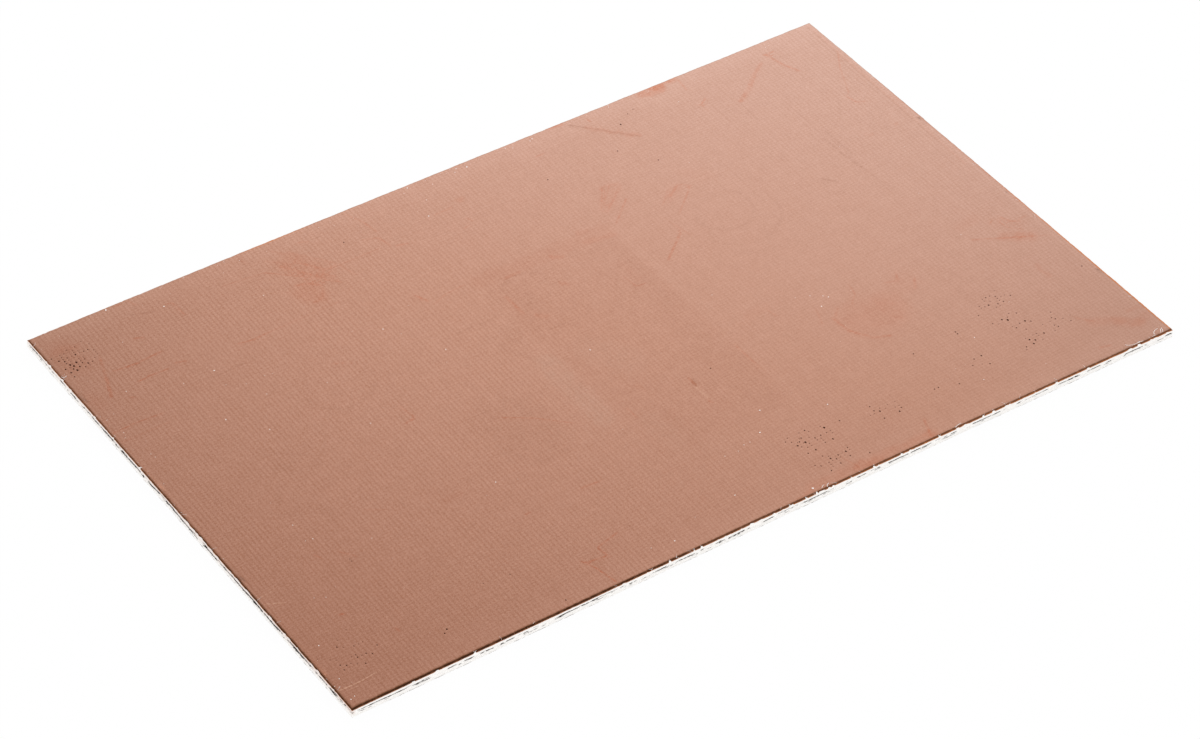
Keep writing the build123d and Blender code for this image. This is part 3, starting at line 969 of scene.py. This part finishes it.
def copper():
    g = Graph(bpy.data.materials.new("copper_foil"))
    x, y = g.channels(g.place())[0:2]
    column = g.times(g.math("SUBTRACT", x, g.times(y, yarn_tilt)), math.pi / yarn_pitch_x)
    row = g.times(y, math.pi / yarn_pitch_y)
    # Painted shade of the cloth under the foil: broad light stripes over the yarns and narrower dark ones
    # between them
    overtone = g.times(g.math("COSINE", g.times(column, 4.0)), 0.2)
    stripe = g.math("SUBTRACT", g.math("COSINE", g.times(column, 2.0)), overtone)
    knuckle = g.times(g.math("COSINE", column), g.math("COSINE", row))
    crossing = g.times(g.math("COSINE", g.times(row, 2.0)), 0.024)
    # The painted shade of the cloth is strongest at the left
    by_place = g.add(g.fit(x, -45.0, 42.0, 0.053, 0.022), g.fit(x, 42.0, 74.0, 0.0, 0.008))
    weave_shade_strength = g.times(by_place, g.fit(g.noise(0.12, 3.0), 0.3, 0.7, 0.75, 1.2))
    knuckles = g.times(knuckle, g.fit(x, -70.0, -25.0, 0.009, 0.004))
    painted_weave_shade = g.add(g.times(stripe, weave_shade_strength), g.add(knuckles, crossing))
    # Painted light: the copper is painted lighter towards the back right and darker towards the front left
    across = g.add(g.times(x, 0.66 / (2 * half_length)), g.times(y, 0.36 / (2 * half_width)))
    cloud = g.times(g.math("SUBTRACT", g.noise(0.02, 2.0, 0.4), 0.5), 0.06)
    painted_light_share = g.add(g.add(across, 0.5), cloud)
    colour = g.colour_mix(g.times(painted_light_share, 2.0), copper_painted_dim, copper_painted_middle)
    colour = g.colour_mix(g.add(g.times(painted_light_share, 2.0), -1.0), colour, copper_painted_bright)
    # The grain is strongest at the left too
    grain_strength = g.fit(x, -75.0, 45.0, 0.125, 0.068)
    finest = g.times(g.either_way(g.noise(6.5, 1.0, 0.5, (3, 5, 0)), 0.25, 0.75, 1.0), grain_strength)
    grain_shade = g.add(g.either_way(g.noise(3.2, 2.0, 0.6), 0.25, 0.75, 0.034), finest)
    patch_shade = g.either_way(g.noise(0.35, 3.0), 0.25, 0.75, 0.009)
    # No two yarns are alike
    uneven = g.add(
        g.either_way(g.noise(1.1, 2.0, 0.6, stretch=(1, 0.05, 1)), 0.3, 0.7, 0.008),
        g.either_way(g.noise(1.3, 2.0, 0.6, (7, 0, 0), (0.05, 1, 1)), 0.3, 0.7, 0.007),
    )
    # Brighter near the front, back and right edges
    brighter_border = g.add(
        g.fit(g.math("ABSOLUTE", y), half_width - 6.0, half_width - 0.6, 0.0, 0.040),
        g.fit(x, half_length - 2.2, half_length - 0.6, 0.0, 0.036),
    )
    shade = g.add(g.add(painted_weave_shade, g.add(1.0, brighter_border)), g.add(uneven, g.add(grain_shade, patch_shade)))
    colour = g.tinted(colour, g.math("SUBTRACT", shade, 1.0), shade_tint)
    # Stains: the thin ones fade out from their middle line, all are broken up by the cloth
    within = g.fit(g.math("ABSOLUTE", g.attribute("across_line")), 0.25, 1.15, 1.0, 0.0)
    broken = g.times(g.fit(g.noise(1.5, 3.0, 0.65), 0.32, 0.68, 0.3, 1.65), g.add(1.0, g.times(stripe, 0.18)))
    line = g.channels(g.attribute("line", "Vector"))
    blot = g.channels(g.attribute("blot", "Vector"))
    for channel, tint in enumerate((red_tint, dark_tint, light_tint)):
        amount = g.add(
            g.times(g.times(g.times(line[channel], 1.35), within), broken),
            g.times(blot[channel], g.add(0.6, g.times(broken, 0.4))),
        )
        colour = g.tinted(colour, amount, tint)
    # The rim: first orange, then painted shade in brown and dark brown, mostly on the front and the left
    shadow = g.attribute("shadow")
    shaded = g.add(shadow, g.times(g.either_way(g.noise(1.6, 3.0, 0.6), 0.3, 0.7, 0.3), shadow))
    colour = g.colour_mix(g.fit(g.attribute("roll"), 0.15, 0.65), colour, bare_copper)
    colour = g.colour_mix(g.fit(shaded, 0.05, 0.40), colour, rim_painted_brown_shade)
    colour = g.colour_mix(g.fit(shaded, 0.45, 0.95), colour, rim_painted_dark_shade)
    colour = g.colour_mix(g.fit(g.attribute("pit"), 0.0, 0.8), colour, pit_brown)
    shader = g.node("ShaderNodeBsdfPrincipled", {
        "Base Color": colour, "Metallic": 1.0, "Roughness": g.fit(g.noise(1.5, 3.0), 0.3, 0.7, 0.38, 0.42),
        "Normal": g.bump(g.noise(9.0, 3.0, 0.6), 0.25, 0.004), "Specular Tint": copper_mirror,
    })
    return g.finish(shader.outputs[0])


def glass():
    g = Graph(bpy.data.materials.new("glass_epoxy"))
    x, y, z = g.channels(g.place())
    mottle = g.noise(3.0, 3.0, 0.6, stretch=(1, 1, 3))
    colour = g.colour_mix(g.fit(mottle, 0.3, 0.75), linear(246, 243, 239), linear(255, 254, 252))
    ply_line = g.noise(1.2, 3.0, 0.65, stretch=(1, 1, 9))
    colour = g.colour_mix(g.times(g.fit(ply_line, 0.40, 0.55, 1.0, 0.0), 0.22), colour, linear(200, 188, 180))
    # The left side is darker and warmer below the foil, most of all near the front
    on_left = g.fit(x, 0.3 - half_length, 0.8 - half_length, 1.0, 0.0)
    darker_warmer_left = g.times(g.times(on_left, g.fit(y, -40.0, 30.0, 0.34, 0.18)), g.fit(z, 0.4, 0.9))
    colour = g.colour_mix(darker_warmer_left, colour, linear(206, 172, 156))
    # Painted shade in the splits, darkest where they gape most
    depth = g.add(g.attribute("painted_split_shade"), g.either_way(g.noise(4.0, 3.0, 0.6), 0.3, 0.7, 0.18))
    colour = g.colour_mix(g.fit(depth, 0.18, 0.90), colour, linear(50, 38, 32))
    threads = g.noise(6.0, 2.0, stretch=(1, 1, 4))
    sockets = {"Base Color": colour, "Roughness": 0.55, "Normal": g.bump(threads, 0.5, 0.02)}
    return g.finish(g.node("ShaderNodeBsdfPrincipled", sockets).outputs[0])


def glass_splinters():
    g = Graph(bpy.data.materials.new("glass_splinters"))
    colour = g.colour_mix(g.noise(5.0), linear(250, 244, 240), linear(255, 254, 252))
    return g.finish(g.node("ShaderNodeBsdfPrincipled", {"Base Color": colour, "Roughness": 0.35}).outputs[0])


# Stage, lights and camera

def seen_directly(g):
    """1 for rays from the camera and those mirrored or let through, 0 for the light that falls on things."""
    path = g.node("ShaderNodeLightPath")
    sharp = g.math("MAXIMUM", path.outputs["Is Glossy Ray"], path.outputs["Is Transmission Ray"])
    return g.math("MAXIMUM", path.outputs["Is Camera Ray"], sharp)


def white_floor():
    g = Graph(bpy.data.materials.new("white_floor"))
    paint = g.node("ShaderNodeBsdfDiffuse", {"Color": (0.9, 0.9, 0.9, 1)})
    glow = g.node("ShaderNodeEmission", {"Color": (1, 1, 1, 1), "Strength": 1.0})
    # What is left of the paint shows the board's shadow
    glow_share = 0.94
    share = g.times(seen_directly(g), glow_share)
    mix = g.node("ShaderNodeMixShader", {0: share, 1: paint.outputs[0], 2: glow.outputs[0]})
    reach, height = 1500.0, -0.02
    corners = [(-reach, -reach), (reach, -reach), (reach, reach), (-reach, reach)]
    mesh = bpy.data.meshes.new("floor")
    mesh.from_pydata([(x * MM, y * MM, height * MM) for x, y in corners], [], [(0, 1, 2, 3)])
    mesh.materials.append(g.finish(mix.outputs[0]))
    floor = add_object("floor", mesh)


def white_surroundings():
    """White at the horizon and pale grey overhead, as in a studio, and plain light on what isn't shiny."""
    world = bpy.data.worlds.new("studio")
    bpy.context.scene.world = world
    g = Graph(world)
    height = g.channels(g.node("ShaderNodeTexCoord").outputs["Generated"])[2]
    cove = g.colour_mix(g.math("MAXIMUM", height, 0.0), (1, 1, 1, 1), (0.7, 0.7, 0.7, 1))
    shade = g.colour_mix(seen_directly(g), (1, 1, 1, 1), cove)
    background = g.node("ShaderNodeBackground", {"Color": shade})
    g.finish(background.outputs[0], "ShaderNodeOutputWorld")


def soft_light(name, place, target, size, radiance):
    """A square lamp as bright as a white sheet at a radiance of 1."""
    lamp = bpy.data.lights.new(name, "AREA")
    lamp.shape = "SQUARE"
    lamp.size = size * MM
    lamp.energy = radiance * math.pi * lamp.size ** 2
    holder = add_object(name, lamp)
    holder.location = Vector(place) * MM
    aim = Vector(target) * MM - holder.location
    holder.rotation_euler = aim.to_track_quat("-Z", "Y").to_euler()


# The camera stands where the photograph's outline of the board puts it
camera_azimuth = math.radians(-35.36)
camera_elevation = math.radians(41.52)
camera_roll = math.radians(1.68)
camera_distance = 682.2
camera_target = Vector((-10.88, -3.54, board_top))
photo_width_px = 1200
focal_length_px = 4191
framing_shift_px = 40  # the photograph was trimmed more on one side than on the other
sensor_width = 36.0


def camera():
    back = Vector((
        math.sin(camera_azimuth) * math.cos(camera_elevation),
        -math.cos(camera_azimuth) * math.cos(camera_elevation),
        math.sin(camera_elevation),
    ))
    level = Vector((math.cos(camera_azimuth), math.sin(camera_azimuth), 0))
    above = back.cross(level)
    right = level * math.cos(camera_roll) + above * math.sin(camera_roll)
    up = back.cross(right)
    lens = bpy.data.cameras.new("camera")
    lens.sensor_width = sensor_width
    lens.lens = focal_length_px / photo_width_px * sensor_width
    lens.shift_x = framing_shift_px / photo_width_px
    lens.clip_start = 0.01
    holder = add_object("camera", lens)
    turn = Matrix((right, up, back)).transposed()
    holder.matrix_world = Matrix.Translation((camera_target + back * camera_distance) * MM) @ turn.to_4x4()
    bpy.context.scene.camera = holder


bpy.context.scene.view_settings.view_transform = "Standard"
camera()
white_floor()
white_surroundings()
soft_light("back_right_softbox", place=(230, 300, 260), target=(30, 10, 0), size=300, radiance=0.8)
soft_light("front_left_softbox", place=(-500, -500, 500), target=(0, 0, 0), size=500, radiance=1.0)

copper_look = copper()
splinter_look = glass_splinters()
pits = pit_places()
underside_pits = [(x, -y, radius, deep) for x, y, radius, deep in pits[::3]]
copper_sheet("copper_face", "copper_foil_top", copper_look, upper_rim, pits)
copper_sheet(
    "copper_underside", "copper_foil_bottom", copper_look, lower_rim, underside_pits,
    underside=True,
)
laminate(glass())
glass_specks(splinter_look)
loose_fibres(splinter_look)
